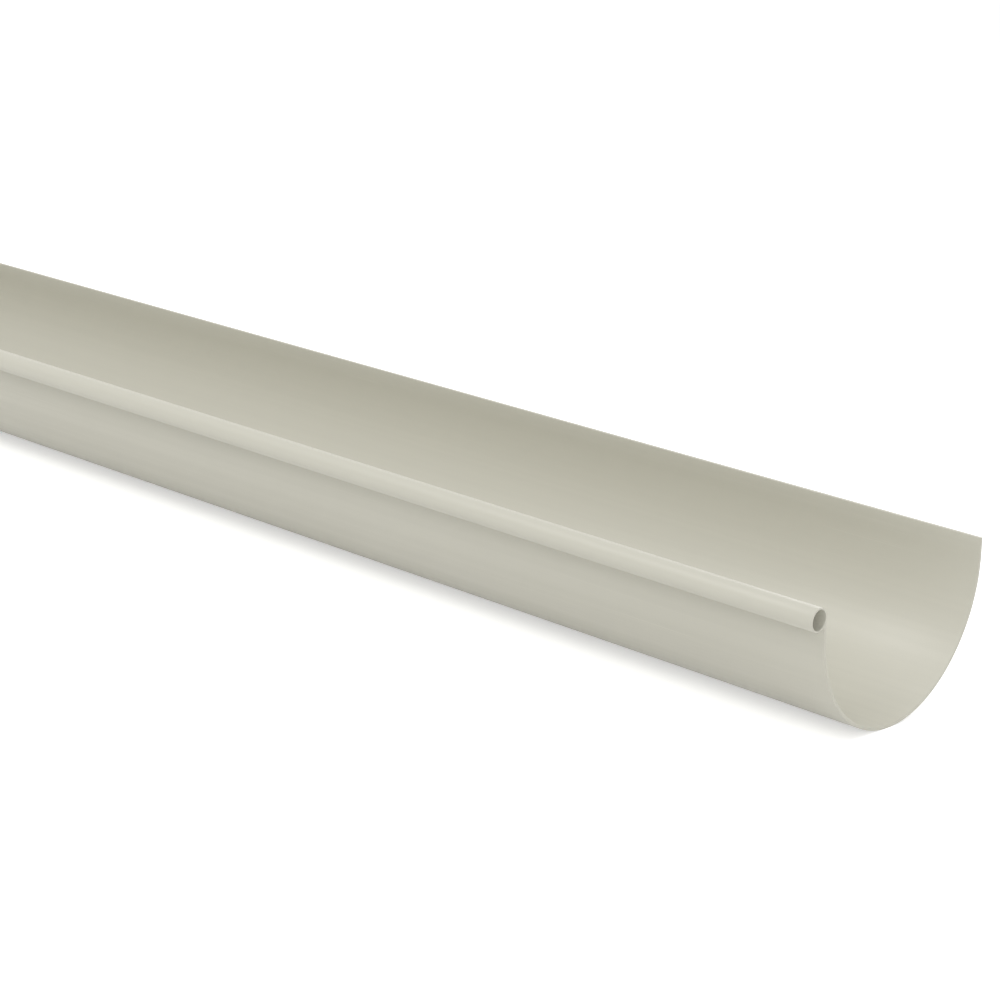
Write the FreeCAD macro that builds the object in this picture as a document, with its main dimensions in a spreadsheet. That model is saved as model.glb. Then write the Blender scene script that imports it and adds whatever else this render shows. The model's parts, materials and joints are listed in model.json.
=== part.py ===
"""Half-round roof gutter section: one length of extruded PVC-U, as it leaves the saw.

One die makes the whole profile: a half-round trough with a short upright flank on each
side, a plain back rim, and a closed hollow bead along the front that stiffens it and
that the brackets hook over. The section lies along X with its front, the bead, towards
-Y. It is stored as it lies by itself on a level floor: rolled about its length until its
centre of mass is under the centre of the half round, with the origin on the floor below
the middle of the bounding box. Millimetres.
"""

import FreeCAD, Part

import math
import os

import Sketcher

Vector = FreeCAD.Vector

NODE = "gutter_section"

# Driving dimensions in millimetres: alias, value, meaning.
SIZES = (
    ("section_length", 2000.0, "from one sawn end to the other"),
    ("outer_width", 125.0, "outside width of the half round"),
    ("wall_thickness", 1.5, "wall of the trough"),
    ("back_flank_height", 8.75, "back rim above the centre of the half round"),
    ("front_flank_height", 3.0, "start of the bead's root above that centre"),
    ("bead_diameter", 11.0, "outside of the hollow bead"),
    ("bead_wall", 0.8, "wall of the hollow bead"),
    ("bead_root_radius", 1.0, "fillet between the bead's underside and the wall"),
    ("rim_edge_radius", 0.4, "rounding of the back rim's two edges"),
)

# Points of a sketch curve, as the sketcher numbers them.
START = 1
END = 2
CENTRE = 3
# The sketch's own axes: a reference to ORIGIN and its START point is the sketch's origin.
ORIGIN = -1

LENGTH_AXIS = Vector(1, 0, 0)
SKETCH_NORMAL = Vector(0, 0, 1)
QUARTER_TURN = math.pi / 2
HALF_TURN = math.pi
FULL_TURN = 2 * math.pi
# Each rounded edge of the rim takes at most this share of the wall.
LARGEST_EDGE_SHARE = 1 / 3


def make_sheet(doc):
    """The spreadsheet that holds the driving dimensions."""
    sheet = doc.addObject("Spreadsheet::Sheet", "Sizes")
    for row, (alias, value, meaning) in enumerate(SIZES, start=1):
        sheet.set(f"A{row}", alias)
        sheet.set(f"B{row}", str(value))
        sheet.setAlias(f"B{row}", alias)
        sheet.set(f"C{row}", meaning)
    doc.recompute()
    return sheet


def arc(centre, radius, start_angle, end_angle):
    """An arc in the sketch's plane, anticlockwise between two angles in radians."""
    circle = Part.Circle(centre, SKETCH_NORMAL, radius)
    return Part.ArcOfCircle(circle, start_angle, end_angle)


def line(start, end):
    """A straight line between two (x, y) points of the sketch."""
    return Part.LineSegment(Vector(*start), Vector(*end))


def section_curves(sheet):
    """The profile's curves by name: across the gutter is x, up is y, the half round is centred at 0, 0."""
    outer = sheet.outer_width / 2
    inner = outer - sheet.wall_thickness
    back_top = sheet.back_flank_height
    edge = min(sheet.rim_edge_radius, sheet.wall_thickness * LARGEST_EDGE_SHARE)
    root = sheet.bead_root_radius
    root_height = sheet.front_flank_height
    bead = sheet.bead_diameter / 2
    bore = bead - sheet.bead_wall

    # The bead rolls outward: its circle touches the trough's inner face, and the root's fillet from outside.
    root_centre = Vector(-outer - root, root_height)
    bead_across = -inner - bead
    root_across = bead_across - root_centre.x
    root_reach = bead + root
    bead_centre = Vector(bead_across, root_height + math.sqrt(root_reach**2 - root_across**2))
    root_end_angle = math.atan2(bead_centre.y - root_centre.y, root_across)
    middle = Vector(0, 0)

    return {
        "back_outer": line((outer, back_top - edge), (outer, 0)),
        "outer_round": arc(middle, outer, HALF_TURN, FULL_TURN),
        "front_outer": line((-outer, 0), (-outer, root_height)),
        "bead_root": arc(root_centre, root, 0, root_end_angle),
        "bead_outer": arc(bead_centre, bead, 0, root_end_angle + HALF_TURN),
        "front_inner": line((-inner, bead_centre.y), (-inner, 0)),
        "inner_round": arc(middle, inner, HALF_TURN, FULL_TURN),
        "back_inner": line((inner, 0), (inner, back_top - edge)),
        "rim_inner_edge": arc(Vector(inner + edge, back_top - edge), edge, QUARTER_TURN, HALF_TURN),
        "rim_top": line((inner + edge, back_top), (outer - edge, back_top)),
        "rim_outer_edge": arc(Vector(outer - edge, back_top - edge), edge, 0, QUARTER_TURN),
        "bead_bore": Part.Circle(bead_centre, SKETCH_NORMAL, bore),
    }


def constrain_section(sketch, index):
    """Join the curves smoothly all round and tie every size to its cell."""

    def smooth(first, first_point, second, second_point):
        sketch.addConstraint(
            Sketcher.Constraint("Tangent", index[first], first_point, index[second], second_point)
        )

    def sized(name, constraint, expression):
        number = sketch.addConstraint(constraint)
        sketch.renameConstraint(number, name)
        sketch.setExpression(f"Constraints.{name}", expression)

    def radius(name, expression):
        curve = index[name]
        current = sketch.Geometry[curve].Radius
        sized(f"{name}_radius", Sketcher.Constraint("Radius", curve, current), expression)

    def height(name, curve, point, expression):
        current = sketch.getPoint(index[curve], point).y
        constraint = Sketcher.Constraint("DistanceY", ORIGIN, START, index[curve], point, current)
        sized(name, constraint, expression)

    for round_name in ("outer_round", "inner_round"):
        sketch.addConstraint(Sketcher.Constraint("Coincident", index[round_name], CENTRE, ORIGIN, START))
    for upright in ("back_outer", "front_outer", "front_inner", "back_inner"):
        sketch.addConstraint(Sketcher.Constraint("Vertical", index[upright]))
    sketch.addConstraint(Sketcher.Constraint("Horizontal", index["rim_top"]))

    smooth("back_outer", END, "outer_round", END)
    smooth("outer_round", START, "front_outer", START)
    smooth("front_outer", END, "bead_root", START)
    smooth("bead_root", END, "bead_outer", END)
    smooth("bead_outer", START, "front_inner", START)
    smooth("front_inner", END, "inner_round", START)
    smooth("inner_round", END, "back_inner", START)
    smooth("back_inner", END, "rim_inner_edge", END)
    smooth("rim_inner_edge", START, "rim_top", START)
    smooth("rim_top", END, "rim_outer_edge", END)
    smooth("rim_outer_edge", START, "back_outer", START)
    sketch.addConstraint(
        Sketcher.Constraint("Coincident", index["bead_bore"], CENTRE, index["bead_outer"], CENTRE)
    )
    sketch.addConstraint(Sketcher.Constraint("Equal", index["rim_inner_edge"], index["rim_outer_edge"]))

    radius("outer_round", "Sizes.outer_width / 2")
    radius("inner_round", "Sizes.outer_width / 2 - Sizes.wall_thickness")
    radius("bead_root", "Sizes.bead_root_radius")
    radius("bead_outer", "Sizes.bead_diameter / 2")
    radius("bead_bore", "Sizes.bead_diameter / 2 - Sizes.bead_wall")
    radius(
        "rim_outer_edge",
        f"min(Sizes.rim_edge_radius; Sizes.wall_thickness * {LARGEST_EDGE_SHARE})",
    )
    height("back_flank_height", "rim_top", START, "Sizes.back_flank_height")
    height("front_flank_height", "front_outer", END, "Sizes.front_flank_height")


def origin_plane(body, role):
    """One of the body's own origin planes."""
    return next(feature for feature in body.Origin.OriginFeatures if feature.Role == role)


def make_gutter(doc, sheet):
    """The gutter: its profile drawn on the body's YZ plane and extruded both ways along X."""
    body = doc.addObject("PartDesign::Body", "Gutter")
    body.Label = NODE

    sketch = body.newObject("Sketcher::SketchObject", "GutterProfile")
    sketch.AttachmentSupport = [(origin_plane(body, "YZ_Plane"), "")]
    sketch.MapMode = "FlatFace"
    index = {name: sketch.addGeometry(curve, False) for name, curve in section_curves(sheet).items()}
    constrain_section(sketch, index)

    extrusion = body.newObject("PartDesign::Pad", "Extrusion")
    extrusion.Profile = sketch
    extrusion.SideType = "Symmetric"
    extrusion.setExpression("Length", "Sizes.section_length")
    doc.recompute()
    if not sketch.FullyConstrained:
        raise RuntimeError("the gutter's profile is not fully constrained")
    return body


def lay_on_floor(body):
    """Roll the body until its centre of mass is under the half round's centre, and stand it on Z = 0."""
    mass_centre = body.Shape.CenterOfMass
    roll = math.degrees(math.atan2(-mass_centre.y, -mass_centre.z))
    rotation = FreeCAD.Rotation(LENGTH_AXIS, roll)
    rolled = body.Shape.copy()
    rolled.Placement = FreeCAD.Placement(Vector(), rotation)
    box = rolled.optimalBoundingBox(False)
    body.Placement = FreeCAD.Placement(Vector(-box.Center.x, -box.Center.y, -box.ZMin), rotation)


def check(doc, bodies):
    """Stop if anything in the document failed, or a body has no sound solid."""
    failed = [item.Name for item in doc.Objects if {"Invalid", "Error"} & set(item.State)]
    if failed:
        raise RuntimeError("failed to build: " + ", ".join(failed))
    for body in bodies:
        if body.Shape.isNull() or not body.Shape.isValid() or len(body.Shape.Solids) != 1:
            raise RuntimeError(f"{body.Label} has no single valid solid")


def main():
    """Build the document, check it and write each body's STEP file."""
    doc = FreeCAD.newDocument("GutterSection")
    sheet = make_sheet(doc)
    gutter = make_gutter(doc, sheet)
    lay_on_floor(gutter)
    doc.recompute()
    bodies = [gutter]
    check(doc, bodies)
    os.makedirs("parts", exist_ok=True)
    for body in bodies:
        body.Shape.exportStep(f"parts/{body.Label}.step")


main()
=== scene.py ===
"""A length of half-round roof gutter in satin sand-grey PVC, and the plain studio it lies in.

The section is modelled across its end and drawn out along X, as the die makes it, and it
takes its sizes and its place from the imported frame. It is laid out as an add-on: each
operator makes one thing, and main() calls them in order.
"""

import json
import math

import bmesh
import bpy
from bpy.props import FloatProperty, FloatVectorProperty, IntProperty, PointerProperty
from bpy.types import Operator, Panel, PropertyGroup
from mathutils import Matrix, Vector


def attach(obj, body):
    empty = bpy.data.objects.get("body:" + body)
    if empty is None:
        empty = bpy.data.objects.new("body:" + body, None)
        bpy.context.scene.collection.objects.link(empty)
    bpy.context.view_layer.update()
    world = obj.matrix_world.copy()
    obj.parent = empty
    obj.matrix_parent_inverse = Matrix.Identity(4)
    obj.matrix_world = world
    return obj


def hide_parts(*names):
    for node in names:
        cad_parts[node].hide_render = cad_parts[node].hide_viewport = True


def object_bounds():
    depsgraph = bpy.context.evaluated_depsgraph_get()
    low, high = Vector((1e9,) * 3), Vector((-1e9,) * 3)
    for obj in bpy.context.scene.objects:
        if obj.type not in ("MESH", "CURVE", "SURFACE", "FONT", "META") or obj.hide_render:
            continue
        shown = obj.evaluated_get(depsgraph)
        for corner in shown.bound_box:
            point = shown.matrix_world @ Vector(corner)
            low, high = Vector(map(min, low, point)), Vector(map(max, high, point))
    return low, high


bl_info = {
    "name": "Half-round gutter section",
    "version": (1, 0, 0),
    "blender": (4, 5, 0),
    "location": "View3D > Sidebar > Gutter",
    "description": "Models a length of extruded half-round gutter and lights it in a plain studio",
    "category": "Object",
}

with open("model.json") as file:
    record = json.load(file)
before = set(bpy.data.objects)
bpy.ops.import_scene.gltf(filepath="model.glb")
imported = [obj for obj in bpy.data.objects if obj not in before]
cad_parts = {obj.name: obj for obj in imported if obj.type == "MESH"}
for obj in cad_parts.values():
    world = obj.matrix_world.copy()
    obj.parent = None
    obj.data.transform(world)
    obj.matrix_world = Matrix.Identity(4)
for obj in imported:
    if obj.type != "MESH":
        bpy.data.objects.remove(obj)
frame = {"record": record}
CAD_LOW, CAD_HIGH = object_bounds()

NODE = "gutter_section"
BODY = "root"
PIECE = "gutter_section_dressed"

X_AXIS = Vector((1, 0, 0))
MM = 0.001
# Two points of a profile closer than this are one point.
SAME_POINT = 1e-6

# Edges sharper than this are corners that the saw leaves; all others belong to a rounded surface.
SHARP_CORNER = math.radians(50)
# Faces that meet at less than this are shaded as one surface.
SMOOTH_BELOW = math.radians(28)
# The share of a face's normal along the gutter above which the saw made the face.
SAWN_NORMAL = 0.95
SAW_EDGE_STEPS = 2

# Patterns in the plastic: features a metre along X, Y and Z, finer levels of detail, distortion.
FINE_STREAKS = ((0.5, 330, 330), 3, 0.0)
BROAD_STREAKS = ((0.7, 55, 55), 2, 0.0)
CLOUDS = ((5, 14, 14), 3, 0.0)
GRAIN = ((900, 1400, 1400), 2, 0.0)
SCRATCHES = ((9, 760, 760), 1, 0.3)
RUBBED_PATCHES = ((3.5, 11, 11), 2, 0.0)
SAW_TEETH = ((1, 2600, 260), 2, 0.4)
SAW_CRUMBS = ((2000, 2000, 2000), 3, 0.0)

# The part of a pattern's values that is spread over its whole effect.
MIDDLE_THIRD = (0.35, 0.65)
WIDE_MIDDLE = (0.3, 0.7)
SCRATCH_PEAKS = (0.66, 0.78)
PATCH_PEAKS = (0.52, 0.70)

# Depths of the relief in the plastic's skin.
BROAD_WAVE = 0.00004
DIE_LINE = 0.000006
SATIN_GRAIN = 0.000004
SCRATCH = 0.000006
SAW_MARK = 0.00004
# How much rougher the plastic is where it has been rubbed, and how rough the saw leaves it.
RUB_DULLS = 0.10
SAWN_ROUGHNESS = (0.55, 0.72)
PVC_IOR = 1.53

WHITE = (1, 1, 1, 1)
FLOOR_SIZE = 30.0
CLOSEST_SEEN = 0.05
# How far behind the near end the lamps are aimed.
LAMP_AIM_BACK = 0.3
# Each lamp's name, where it stands from the point it is aimed at, and its width.
LAMPS = (
    ("front_lamp", Vector((-0.92, -1.6, 2.39)), 1.5),
    ("end_lamp", Vector((1.7, -1.6, 0.87)), 1.0),
    ("top_lamp", Vector((0, 0, 3.0)), 1.5),
    ("back_lamp", Vector((0, 2.2, 1.3)), 2.2),
)


# Places and sizes that the frame gives


def mount(name):
    """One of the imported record's mounts."""
    return next(entry for entry in frame["record"]["mounts"] if entry["name"] == name)


class Section:
    """The gutter's section, from the frame, seen from its half round's centre with rims level."""

    def __init__(self):
        seat = mount("bracket_seat")
        hook = mount("bead_hook")
        rim = mount("back_rim_clip")
        seat_direction = Vector(seat["axis"])
        self.near_end = Vector(mount("end_plus_x")["pos_m"]).x
        self.far_end = Vector(mount("end_minus_x")["pos_m"]).x
        self.radius = seat["dims"]["r_mm"] * MM
        self.bead_radius = hook["dims"]["r_mm"] * MM
        # The end's mount lies halfway through the wall, right above where it touches the floor.
        self.wall = 2 * mount("end_plus_x")["pos_m"][2]
        self.centre = Vector(seat["pos_m"]) - self.radius * seat_direction
        self.roll = math.atan2(seat_direction.y, -seat_direction.z)
        self.bead = self.level(hook["pos_m"])
        self.rim_height = self.level(rim["pos_m"]).z

    def level(self, point):
        """A point of the frame, seen from the half round's centre with both rims level."""
        return Matrix.Rotation(-self.roll, 3, "X") @ (Vector(point) - self.centre)


SECTION = Section()


# What a user would change


class GutterShape(PropertyGroup):
    """Sizes of the section that the frame doesn't state, and how finely it is modelled."""

    bead_wall: FloatProperty(
        name="Bead wall",
        description="Thickness of the hollow bead's wall",
        default=0.0008,
        min=0.0004,
        unit="LENGTH",
        precision=4,
    )
    root_radius: FloatProperty(
        name="Bead root",
        description="Radius of the fillet between the bead's underside and the wall",
        default=0.001,
        min=0.0002,
        unit="LENGTH",
        precision=4,
    )
    rim_edge: FloatProperty(
        name="Rim edge",
        description="Rounding of the plain rim's two edges",
        default=0.0004,
        min=0.0001,
        unit="LENGTH",
        precision=4,
    )
    saw_edge: FloatProperty(
        name="Sawn edge",
        description="Rounding that is left round each sawn end once the burr is wiped off",
        default=0.00018,
        min=0.0,
        unit="LENGTH",
        precision=5,
    )
    round_steps: IntProperty(
        name="Half-round steps",
        description="Faces across the half round",
        default=120,
        min=16,
    )
    bead_steps: IntProperty(
        name="Bead steps",
        description="Faces round the bead from the trough's inner face to the root",
        default=64,
        min=12,
    )
    root_steps: IntProperty(
        name="Root steps",
        description="Faces across the fillet at the bead's root",
        default=8,
        min=2,
    )
    edge_steps: IntProperty(
        name="Edge steps",
        description="Faces across each rounded edge of the rim",
        default=4,
        min=1,
    )
    length_cuts: IntProperty(
        name="Length cuts",
        description="Rings of edges across the length",
        default=40,
        min=0,
    )


class GutterPlastic(PropertyGroup):
    """Colours and finish of the extruded PVC."""

    body: FloatVectorProperty(
        name="Plastic",
        description="Colour of the plastic, right through",
        subtype="COLOR",
        size=4,
        min=0,
        max=1,
        default=(0.541, 0.528, 0.452, 1),
    )
    streak: FloatVectorProperty(
        name="Die streaks",
        description="Colour of the faint streaks that the die draws along the length",
        subtype="COLOR",
        size=4,
        min=0,
        max=1,
        default=(0.527, 0.515, 0.441, 1),
    )
    sawn: FloatVectorProperty(
        name="Sawn face",
        description="Colour of the matt face that the saw leaves",
        subtype="COLOR",
        size=4,
        min=0,
        max=1,
        default=(0.600, 0.586, 0.502, 1),
    )
    rubbed: FloatVectorProperty(
        name="Rubbed",
        description="Colour of the fine scratches where lengths have rubbed together",
        subtype="COLOR",
        size=4,
        min=0,
        max=1,
        default=(0.571, 0.558, 0.481, 1),
    )
    gloss_low: FloatProperty(
        name="Smoothest",
        description="Roughness of the shiniest streaks",
        default=0.38,
        min=0,
        max=1,
        subtype="FACTOR",
    )
    gloss_high: FloatProperty(
        name="Dullest",
        description="Roughness of the dullest streaks",
        default=0.50,
        min=0,
        max=1,
        subtype="FACTOR",
    )


class GutterStudio(PropertyGroup):
    """The camera, the lamps and the floor."""

    lens: FloatProperty(
        name="Lens", description="Focal length in millimetres", default=90.484, min=10
    )
    azimuth: FloatProperty(
        name="Azimuth",
        description="Turn of the camera round the upright, from straight in front of the bead",
        default=math.radians(41.7183),
        subtype="ANGLE",
    )
    elevation: FloatProperty(
        name="Elevation",
        description="Height of the camera above the rims' level",
        default=math.radians(20.4828),
        subtype="ANGLE",
    )
    distance: FloatProperty(
        name="Distance",
        description="From the camera to the point it is aimed at",
        default=1.25823,
        min=0.1,
        unit="LENGTH",
    )
    aim_back: FloatProperty(
        name="Aim back",
        description="How far behind the near end the camera is aimed",
        default=0.23884,
        unit="LENGTH",
    )
    aim_down: FloatProperty(
        name="Aim down",
        description="How far below the half round's centre the camera is aimed",
        default=0.01516,
        unit="LENGTH",
    )
    floor: FloatVectorProperty(
        name="Floor",
        description="Colour of the floor",
        subtype="COLOR",
        size=4,
        min=0,
        max=1,
        default=(0.90, 0.90, 0.90, 1),
    )
    floor_lift: FloatProperty(
        name="Floor lift",
        description="Light that the floor adds where the camera sees it, to show as white",
        default=0.50,
        min=0,
    )
    sky: FloatProperty(
        name="Sky", description="Strength of the even light from all round", default=0.57, min=0
    )
    front_lamp: FloatProperty(
        name="Front lamp",
        description="Power of the large lamp high in front of the bead",
        default=31.0,
        min=0,
        unit="POWER",
    )
    end_lamp: FloatProperty(
        name="End lamp",
        description="Power of the lamp low beside the camera, which reaches into the near end",
        default=10.0,
        min=0,
        unit="POWER",
    )
    top_lamp: FloatProperty(
        name="Top lamp",
        description="Power of the lamp overhead, which reaches down into the trough",
        default=10.0,
        min=0,
        unit="POWER",
    )
    back_lamp: FloatProperty(
        name="Back lamp",
        description="Power of the lamp behind, which lights the trough's front side and the back",
        default=30.0,
        min=0,
        unit="POWER",
    )


# Modelling with the edit-mode tools


def select_only(piece):
    """Leave object mode's selection with this piece alone, and make it active."""
    bpy.ops.object.select_all(action="DESELECT")
    piece.select_set(True)
    bpy.context.view_layer.objects.active = piece


def pick(piece, kind, wanted):
    """In edit mode, select exactly the VERTs, EDGEs or FACEs that `wanted` accepts."""
    bpy.ops.mesh.select_mode(type=kind)
    bpy.ops.mesh.select_all(action="DESELECT")
    mesh = bmesh.from_edit_mesh(piece.data)
    elements = {"VERT": mesh.verts, "EDGE": mesh.edges, "FACE": mesh.faces}[kind]
    chosen = [element for element in elements if wanted(element)]
    if not chosen:
        raise RuntimeError(f"{piece.name}: nothing to select among its {kind.lower()} elements")
    for element in chosen:
        element.select_set(True)
    bmesh.update_edit_mesh(piece.data)


def at(point):
    """A test for the vertex that lies at a point."""
    return lambda vertex: (vertex.co - point).length < SAME_POINT


def joins(*points):
    """A test for the edge whose two ends are among these points."""

    def test(edge):
        return all(any(at(point)(end) for point in points) for end in edge.verts)

    return test


def on_arc(centre, radius):
    """A test for the edge whose two ends lie on a circle about a point."""

    def test(edge):
        return all(abs((end.co - centre).length - radius) < SAME_POINT for end in edge.verts)

    return test


def spin(steps, angle, centre):
    """Sweep what is selected about an axis along X, anticlockwise seen from the near end."""
    bpy.ops.mesh.spin(steps=steps, angle=angle, center=centre, axis=-X_AXIS)


class Profile:
    """The points that the section is drawn from, in the near end's plane, with rims level."""

    def __init__(self, shape):
        x = SECTION.near_end
        bead = SECTION.bead_radius
        self.outer = SECTION.radius
        self.inner = SECTION.radius - SECTION.wall
        self.middle = Vector((x, 0, 0))
        self.bead_centre = Vector((x, SECTION.bead.y, SECTION.bead.z))
        self.root_height = self.bead_centre.z - math.sqrt(
            (bead + shape.root_radius) ** 2 - (bead - SECTION.wall - shape.root_radius) ** 2
        )
        self.root_centre = Vector((x, -self.outer - shape.root_radius, self.root_height))
        to_bead = self.bead_centre - self.root_centre
        self.root_turn = math.atan2(to_bead.z, to_bead.y)
        self.bead_turn = self.root_turn + math.pi
        self.outer_end = Vector((x, -self.outer, self.root_height))
        self.inner_end = Vector((x, -self.inner, self.root_height))
        self.bead_start = Vector((x, -self.inner, self.bead_centre.z))
        self.bore_start = self.bead_start - Vector((0, shape.bead_wall, 0))
        to_fillet = Matrix.Rotation(self.bead_turn, 3, "X")
        self.root_end = self.bead_centre + to_fillet @ (self.bead_start - self.bead_centre)
        self.bore_end = self.bead_centre + to_fillet @ (self.bore_start - self.bead_centre)


def draw_trough(piece, shape, profile):
    """Model the wall's flat section, from the back rim round to the bead's root."""
    x = profile.middle.x
    wall_middle = (profile.outer + profile.inner) / 2
    half_rim = SECTION.rim_height / 2

    # The plane primitive becomes the back flank, and its two top corners are rounded.
    bpy.ops.transform.resize(value=(1, SECTION.wall, SECTION.rim_height))
    bpy.ops.transform.translate(value=(x, wall_middle, half_rim))
    pick(piece, "VERT", lambda vertex: vertex.co.z > half_rim)
    bpy.ops.mesh.bevel(
        offset=shape.rim_edge,
        offset_type="OFFSET",
        segments=shape.edge_steps,
        profile=0.5,
        affect="VERTICES",
    )

    # Its lower edge sweeps round under the trough and runs up to the bead's root.
    pick(piece, "EDGE", joins(Vector((x, profile.outer, 0)), Vector((x, profile.inner, 0))))
    spin(shape.round_steps, -math.pi, profile.middle)
    bpy.ops.mesh.extrude_region_move(TRANSFORM_OT_translate={"value": (0, 0, profile.root_height)})

    # Outside, the wall turns out through the fillet; inside, it runs straight up to the bead.
    pick(piece, "VERT", at(profile.outer_end))
    spin(shape.root_steps, profile.root_turn, profile.root_centre)
    pick(piece, "VERT", at(profile.inner_end))
    bpy.ops.mesh.extrude_region_move(
        TRANSFORM_OT_translate={"value": profile.bead_start - profile.inner_end}
    )


def draw_bead(piece, shape, profile):
    """Model the bead's flat section, from the trough's inner face over the top to the fillet."""
    pick(piece, "VERT", at(profile.bead_start))
    bpy.ops.mesh.extrude_region_move(
        TRANSFORM_OT_translate={"value": profile.bore_start - profile.bead_start}
    )
    pick(piece, "EDGE", joins(profile.bead_start, profile.bore_start))
    spin(shape.bead_steps, profile.bead_turn, profile.bead_centre)

    # The bore alone goes on all round.
    pick(piece, "VERT", at(profile.bore_end))
    spin(shape.root_steps, 2 * math.pi - profile.bead_turn, profile.bead_centre)
    bpy.ops.mesh.select_all(action="SELECT")
    bpy.ops.mesh.remove_doubles(threshold=SAME_POINT)


def fill_web(piece, shape, profile):
    """Fill in what lies between the fillet, the bore, the trough's inner face and the wall."""
    on_fillet = on_arc(profile.root_centre, shape.root_radius)
    on_bore = on_arc(profile.bead_centre, SECTION.bead_radius - shape.bead_wall)
    straight_sides = (
        joins(profile.inner_end, profile.bead_start),
        joins(profile.outer_end, profile.inner_end),
        joins(profile.bead_start, profile.bore_start),
        joins(profile.root_end, profile.bore_end),
    )

    def round_the_web(edge):
        bare_bore = edge.is_wire and on_bore(edge)
        return bare_bore or on_fillet(edge) or any(side(edge) for side in straight_sides)

    pick(piece, "EDGE", round_the_web)
    bpy.ops.mesh.edge_face_add()


def draw_out(piece, shape):
    """Draw the section out to the far end, cut it into rings and lay it where the frame has it."""
    bpy.ops.mesh.select_all(action="SELECT")
    length = SECTION.near_end - SECTION.far_end
    bpy.ops.mesh.extrude_region_move(TRANSFORM_OT_translate={"value": (-length, 0, 0)})
    pick(piece, "EDGE", lambda edge: abs(edge.verts[0].co.x - edge.verts[1].co.x) > length / 2)
    bpy.ops.mesh.subdivide(number_cuts=shape.length_cuts)
    bpy.ops.mesh.select_all(action="SELECT")
    bpy.ops.mesh.normals_make_consistent(inside=False)
    bpy.ops.object.mode_set(mode="OBJECT")
    piece.rotation_euler.x = SECTION.roll
    piece.location = (0, SECTION.centre.y, SECTION.centre.z)
    bpy.ops.object.transform_apply(location=True, rotation=True, scale=True)


def round_sawn_edges(piece, shape):
    """Take the sharpness off both ends' outlines, inside and out."""
    bevel = piece.modifiers.new("sawn_edge", "BEVEL")
    bevel.width = shape.saw_edge
    bevel.segments = SAW_EDGE_STEPS
    bevel.limit_method = "ANGLE"
    bevel.angle_limit = SHARP_CORNER
    bevel.use_clamp_overlap = False
    select_only(piece)
    bpy.ops.object.modifier_apply(modifier=bevel.name)
    bpy.ops.object.shade_smooth_by_angle(angle=SMOOTH_BELOW)


def finish_sawn_ends(piece):
    """Give the second material to the faces that the saw cut."""
    select_only(piece)
    bpy.ops.object.mode_set(mode="EDIT")
    pick(piece, "FACE", lambda face: abs(face.normal.x) > SAWN_NORMAL)
    piece.active_material_index = 1
    bpy.ops.object.material_slot_assign()
    bpy.ops.object.mode_set(mode="OBJECT")


# Materials


class Nodes:
    """The node tree of a material or a world, emptied, with short ways to add to it."""

    def __init__(self, owner, output):
        owner.use_nodes = True
        self.owner = owner
        self.tree = owner.node_tree
        self.tree.nodes.clear()
        self.output = self.add(output)

    def add(self, kind, inputs=None, **settings):
        """Add a node, set its properties, and set or link its inputs."""
        node = self.tree.nodes.new(kind)
        for name, value in settings.items():
            setattr(node, name, value)
        for name, value in (inputs or {}).items():
            self.feed(node.inputs[name], value)
        return node

    def feed(self, socket, value):
        """Link an input to another node's output, or set it to a plain value."""
        if isinstance(value, bpy.types.NodeSocket):
            self.tree.links.new(value, socket)
        else:
            socket.default_value = value

    def noise(self, stretch, detail, distortion):
        """Noise on the piece's own coordinates, `stretch` features a metre along X, Y and Z."""
        place = self.add("ShaderNodeTexCoord").outputs["Object"]
        scaled = self.add("ShaderNodeMapping", {"Vector": place, "Scale": stretch})
        texture = self.add(
            "ShaderNodeTexNoise",
            {
                "Vector": scaled.outputs["Vector"],
                "Scale": 1.0,
                "Detail": detail,
                "Distortion": distortion,
            },
        )
        return texture.outputs["Fac"]

    def spread(self, value, low, high, to_low=0.0, to_high=1.0):
        """Map a value's range from low to high onto another, smoothly and without leaving it."""
        node = self.add(
            "ShaderNodeMapRange",
            {
                "Value": value,
                "From Min": low,
                "From Max": high,
                "To Min": to_low,
                "To Max": to_high,
            },
            interpolation_type="SMOOTHSTEP",
        )
        return node.outputs["Result"]

    def blend(self, factor, first, second):
        """A colour between two others."""
        node = self.add("ShaderNodeMix", {"Factor": factor}, data_type="RGBA")
        colours = [item for item in node.inputs if item.type == "RGBA"]
        for socket, value in zip(colours, (first, second)):
            self.feed(socket, value)
        return next(item for item in node.outputs if item.type == "RGBA")

    def math(self, operation, first, second):
        """A value worked out from two others."""
        node = self.add("ShaderNodeMath", operation=operation)
        for socket, value in zip(node.inputs, (first, second)):
            self.feed(socket, value)
        return node.outputs[0]

    def average(self, first, second):
        """Halfway between two values."""
        return self.math("MULTIPLY", self.math("ADD", first, second), 0.5)

    def bump(self, height, depth, normal=None):
        """A normal raised by a height of the given depth in metres, over another one."""
        inputs = {"Height": height, "Distance": depth, "Strength": 1.0}
        if normal is not None:
            inputs["Normal"] = normal
        return self.add("ShaderNodeBump", inputs).outputs["Normal"]

    def plastic(self, colour, rough, normal):
        """The PVC's shader, linked to the output."""
        shader = self.add(
            "ShaderNodeBsdfPrincipled",
            {"Base Color": colour, "Roughness": rough, "Normal": normal, "IOR": PVC_IOR},
        )
        return self.surface(shader.outputs["BSDF"])

    def background_rays(self):
        """One for rays that see the background, straight or in gloss or glass; zero for others."""
        rays = self.add("ShaderNodeLightPath").outputs
        mirrored = self.math("MAXIMUM", rays["Is Glossy Ray"], rays["Is Transmission Ray"])
        return self.math("MAXIMUM", rays["Is Camera Ray"], mirrored)

    def surface(self, shader):
        """Link the finished shader to the output."""
        self.tree.links.new(shader, self.output.inputs["Surface"])
        return self.owner


def new_material(name):
    """The nodes of a new material."""
    return Nodes(bpy.data.materials.new(name), "ShaderNodeOutputMaterial")


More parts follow.
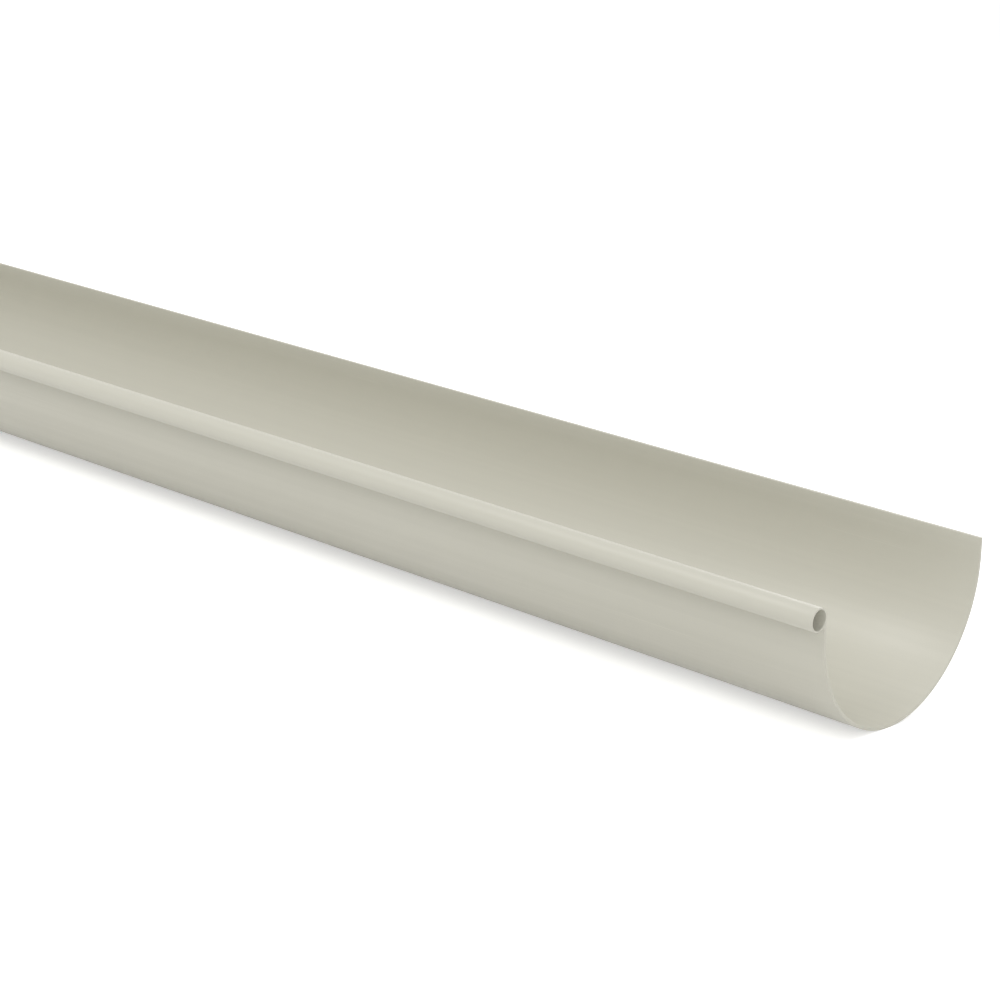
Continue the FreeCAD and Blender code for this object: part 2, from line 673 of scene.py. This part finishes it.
def satin_plastic(plastic):
    """Extruded PVC: faint die streaks, soft clouding, a satin grain and a few rubbed patches."""
    nodes = new_material("pvc_satin")
    fine_streaks = nodes.noise(*FINE_STREAKS)
    broad_streaks = nodes.noise(*BROAD_STREAKS)
    clouds = nodes.noise(*CLOUDS)
    grain = nodes.noise(*GRAIN)
    scratches = nodes.spread(nodes.noise(*SCRATCHES), *SCRATCH_PEAKS)
    patches = nodes.spread(nodes.noise(*RUBBED_PATCHES), *PATCH_PEAKS)
    rubs = nodes.math("MULTIPLY", scratches, patches)

    streaks = nodes.spread(nodes.average(fine_streaks, broad_streaks), *MIDDLE_THIRD)
    drawn = nodes.blend(streaks, plastic.body, plastic.streak)
    colour = nodes.blend(rubs, drawn, plastic.rubbed)
    dullness = nodes.average(streaks, nodes.spread(clouds, *WIDE_MIDDLE))
    satin = nodes.spread(dullness, 0.0, 1.0, plastic.gloss_low, plastic.gloss_high)
    rough = nodes.math("ADD", satin, nodes.math("MULTIPLY", rubs, RUB_DULLS))
    waves = nodes.bump(broad_streaks, BROAD_WAVE)
    lines = nodes.bump(fine_streaks, DIE_LINE, waves)
    cuts = nodes.bump(nodes.math("SUBTRACT", 1.0, rubs), SCRATCH, lines)
    skin = nodes.bump(grain, SATIN_GRAIN, cuts)
    return nodes.plastic(colour, rough, skin)


def sawn_plastic(plastic):
    """The same PVC where the saw went through: matt, with the teeth's lines across the wall."""
    nodes = new_material("pvc_sawn")
    teeth = nodes.noise(*SAW_TEETH)
    crumbs = nodes.noise(*SAW_CRUMBS)
    marks = nodes.average(teeth, crumbs)
    colour = nodes.blend(nodes.spread(marks, *MIDDLE_THIRD), plastic.body, plastic.sawn)
    rough = nodes.spread(marks, *WIDE_MIDDLE, *SAWN_ROUGHNESS)
    return nodes.plastic(colour, rough, nodes.bump(marks, SAW_MARK))


def floor_material(studio):
    """A matt pale floor that shows as white, less the shadow on it."""
    nodes = new_material("studio_floor")
    matt = nodes.add("ShaderNodeBsdfDiffuse", {"Color": studio.floor})
    lift = nodes.math("MULTIPLY", nodes.background_rays(), studio.floor_lift)
    glow = nodes.add("ShaderNodeEmission", {"Strength": lift})
    total = nodes.add("ShaderNodeAddShader")
    nodes.tree.links.new(matt.outputs[0], total.inputs[0])
    nodes.tree.links.new(glow.outputs[0], total.inputs[1])
    return nodes.surface(total.outputs[0])


# The studio


def light_sky(scene, studio):
    """Even light from all round, with white behind everything."""
    scene.world = bpy.data.worlds.new("studio_sky")
    nodes = Nodes(scene.world, "ShaderNodeOutputWorld")
    strength = nodes.spread(nodes.background_rays(), 0.0, 1.0, studio.sky, 1.0)
    background = nodes.add("ShaderNodeBackground", {"Color": WHITE, "Strength": strength})
    nodes.surface(background.outputs[0])


def lay_floor(studio):
    """A wide floor under the gutter."""
    bpy.ops.object.select_all(action="DESELECT")
    bpy.ops.mesh.primitive_plane_add(size=FLOOR_SIZE, location=(0, 0, CAD_LOW.z))
    floor = bpy.context.object
    floor.name = "studio_floor"
    floor.data.materials.append(floor_material(studio))


def hang_lamp(name, stand, size, power):
    """A soft square lamp that stands away from the near half and is aimed at it."""
    aim = Vector((SECTION.near_end - LAMP_AIM_BACK, 0, 0))
    bpy.ops.object.light_add(type="AREA", location=aim + stand)
    lamp = bpy.context.object
    lamp.name = name
    lamp.rotation_euler = (-stand).to_track_quat("-Z", "Y").to_euler()
    lamp.visible_camera = False
    lamp.data.shape = "SQUARE"
    lamp.data.size = size
    lamp.data.energy = power


def place_camera(scene, studio):
    """A camera level with the rims, so rolled with the gutter about the half round's centre."""
    aim = Vector((-studio.aim_back, 0, -studio.aim_down))
    away = Vector(
        (
            math.sin(studio.azimuth) * math.cos(studio.elevation),
            -math.cos(studio.azimuth) * math.cos(studio.elevation),
            math.sin(studio.elevation),
        )
    )
    look = (-away).to_track_quat("-Z", "Y").to_matrix().to_4x4()
    stand = Matrix.Translation(aim + studio.distance * away) @ look
    end_centre = Matrix.Translation((SECTION.near_end, SECTION.centre.y, SECTION.centre.z))
    bpy.ops.object.camera_add()
    camera = bpy.context.object
    camera.name = "camera"
    camera.matrix_world = end_centre @ Matrix.Rotation(SECTION.roll, 4, "X") @ stand
    camera.data.lens = studio.lens
    camera.data.clip_start = CLOSEST_SEEN
    scene.camera = camera


# Operators and panel


class GUTTER_OT_model_section(Operator):
    """Model the length of gutter and give it its plastic"""

    bl_idname = "gutter.model_section"
    bl_label = "Model the gutter"

    def execute(self, context):
        shape = context.scene.gutter_shape
        plastic = context.scene.gutter_plastic
        bpy.ops.object.select_all(action="DESELECT")
        bpy.ops.mesh.primitive_plane_add(size=1, rotation=(0, math.pi / 2, 0))
        piece = context.object
        piece.name = PIECE
        bpy.ops.object.transform_apply(location=True, rotation=True, scale=True)
        select_only(piece)
        bpy.ops.object.mode_set(mode="EDIT")
        profile = Profile(shape)
        draw_trough(piece, shape, profile)
        draw_bead(piece, shape, profile)
        fill_web(piece, shape, profile)
        draw_out(piece, shape)
        round_sawn_edges(piece, shape)
        piece.data.materials.append(satin_plastic(plastic))
        piece.data.materials.append(sawn_plastic(plastic))
        finish_sawn_ends(piece)
        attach(piece, BODY)
        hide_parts(NODE)
        return {"FINISHED"}


class GUTTER_OT_set_stage(Operator):
    """Light the gutter softly from all round over a pale floor, and place the camera"""

    bl_idname = "gutter.set_stage"
    bl_label = "Set the stage"

    def execute(self, context):
        scene = context.scene
        studio = scene.gutter_studio
        light_sky(scene, studio)
        lay_floor(studio)
        for name, stand, size in LAMPS:
            hang_lamp(name, stand, size, getattr(studio, name))
        place_camera(scene, studio)
        scene.view_settings.view_transform = "Standard"
        return {"FINISHED"}


class GUTTER_PT_panel(Panel):
    """The gutter's settings and its two operators, in the 3D view's sidebar"""

    bl_label = "Half-round gutter"
    bl_idname = "GUTTER_PT_panel"
    bl_space_type = "VIEW_3D"
    bl_region_type = "UI"
    bl_category = "Gutter"

    def draw(self, context):
        scene = context.scene
        for title, settings in (
            ("Shape", scene.gutter_shape),
            ("Plastic", scene.gutter_plastic),
            ("Studio", scene.gutter_studio),
        ):
            box = self.layout.box()
            box.label(text=title)
            for name in settings.__annotations__:
                box.prop(settings, name)
        self.layout.operator(GUTTER_OT_model_section.bl_idname)
        self.layout.operator(GUTTER_OT_set_stage.bl_idname)


CLASSES = (
    GutterShape,
    GutterPlastic,
    GutterStudio,
    GUTTER_OT_model_section,
    GUTTER_OT_set_stage,
    GUTTER_PT_panel,
)


def register():
    """Register the classes and hang the settings on the scene."""
    for item in CLASSES:
        bpy.utils.register_class(item)
    bpy.types.Scene.gutter_shape = PointerProperty(type=GutterShape)
    bpy.types.Scene.gutter_plastic = PointerProperty(type=GutterPlastic)
    bpy.types.Scene.gutter_studio = PointerProperty(type=GutterStudio)


def unregister():
    """Take the settings and the classes away again."""
    del bpy.types.Scene.gutter_studio
    del bpy.types.Scene.gutter_plastic
    del bpy.types.Scene.gutter_shape
    for item in reversed(CLASSES):
        bpy.utils.unregister_class(item)


def main():
    """Make the gutter and its stage."""
    register()
    bpy.ops.gutter.model_section()
    bpy.ops.gutter.set_stage()


if __name__ == "__main__":
    main()
